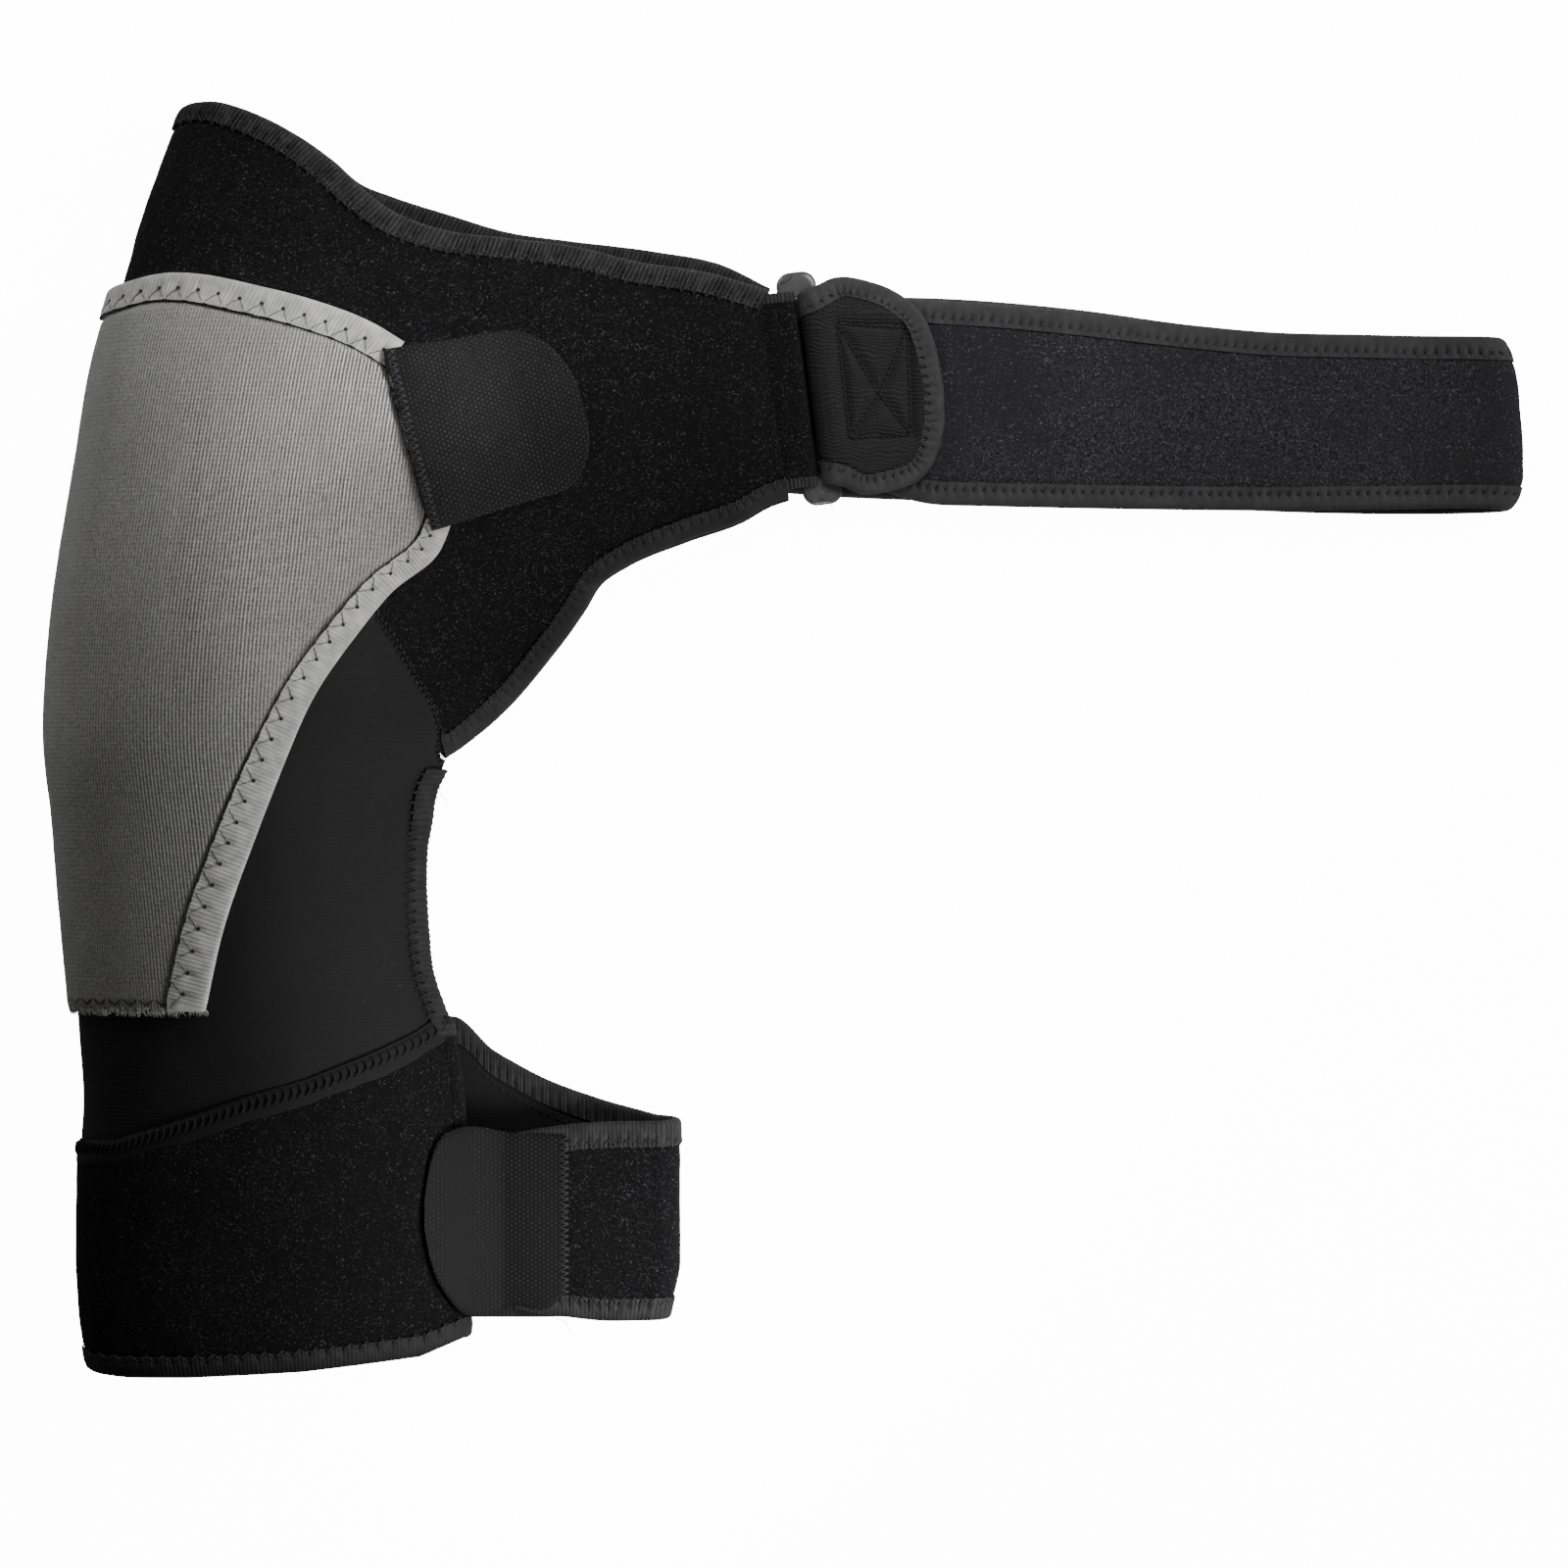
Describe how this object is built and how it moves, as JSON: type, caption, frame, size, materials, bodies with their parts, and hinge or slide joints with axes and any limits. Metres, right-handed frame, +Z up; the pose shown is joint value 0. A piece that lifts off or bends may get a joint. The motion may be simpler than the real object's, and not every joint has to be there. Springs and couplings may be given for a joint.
{
  "type": "shoulder brace",
  "caption": "Shoulder brace of padded fabric lying folded: a grey shoulder pad, an arm sleeve with a strapped cuff, and a chest strap folded back through a ring.",
  "frame": {"origin": "centre of the whole object's box at its lowest level, where it lies on the floor", "axes": "+Z up out of the front of the folded brace, +X from the shoulder fold along the chest strap, +Y from the cuff to the neck edge"},
  "size_m": [0.6288, 0.5414, 0.0865],
  "materials": {
    "loop_fabric": "matt brushed loop pile",
    "knit_black": "smooth fine knit",
    "knit_grey": "fine knit",
    "binding_black": "ribbed stretch binding",
    "binding_grey": "ribbed stretch binding",
    "hook_black": "dense woven hook tape",
    "gloss_black": "polished moulded plastic"
  },
  "bodies": {
    "root": {"shoulder_body": "loop_fabric", "arm_sleeve": "knit_black", "arm_cuff": "loop_fabric", "neck_binding": "binding_black", "front_wing_binding": "binding_black", "back_wing_binding": "binding_black", "underarm_seam": "binding_black", "cuff_binding": "binding_black", "shoulder_cover": "knit_grey", "cover_top_binding": "binding_grey", "cover_front_binding": "binding_grey", "cover_back_binding": "binding_grey", "cover_tab": "hook_black", "ring_loop": "loop_fabric", "ring_buckle": "gloss_black", "chest_strap": "loop_fabric", "chest_strap_binding": "binding_black", "cuff_strap": "loop_fabric", "cuff_strap_upper_binding": "binding_black", "cuff_strap_lower_binding": "binding_black", "cuff_strap_tab": "hook_black"}
  },
  "joints": []
}
